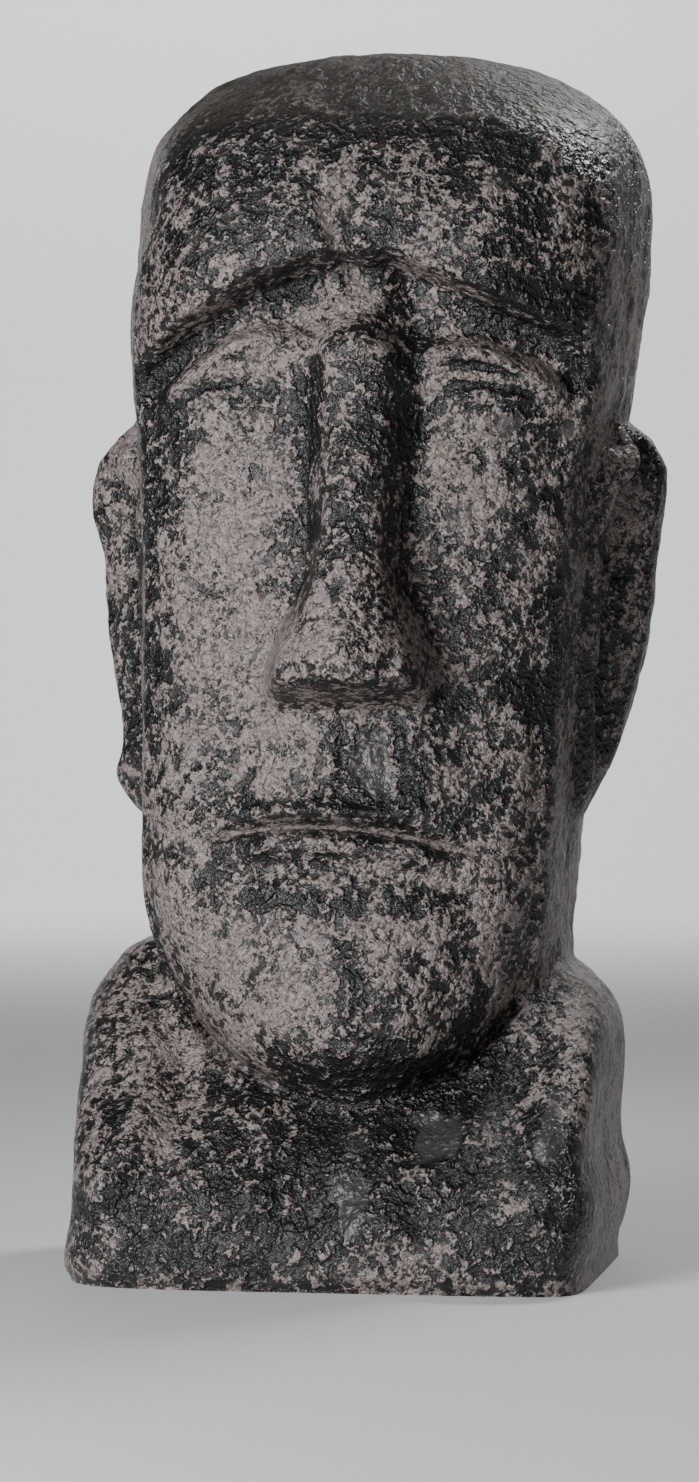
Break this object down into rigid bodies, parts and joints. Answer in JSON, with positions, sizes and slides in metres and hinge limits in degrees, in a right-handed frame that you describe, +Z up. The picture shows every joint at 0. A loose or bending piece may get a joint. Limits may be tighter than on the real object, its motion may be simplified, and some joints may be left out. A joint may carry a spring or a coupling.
{
  "type": "statue",
  "caption": "Tall moai style head statue with heavy brow, long nose, closed lips and long ears, on a rough-hewn square base, black stone finish worn to pinkish grey.",
  "frame": {"origin": "centre of the object's box, on the flat underside", "axes": "+Z up, the face looks along -Y, +X towards the viewer's right"},
  "size_m": [0.276, 0.2478, 0.563],
  "materials": {
    "moai_head": "rough cast stone, painted near black and dry-brushed with pinkish grey, slightly satin"
  },
  "bodies": {
    "root": {"moai_head": "moai_head"}
  },
  "joints": []
}
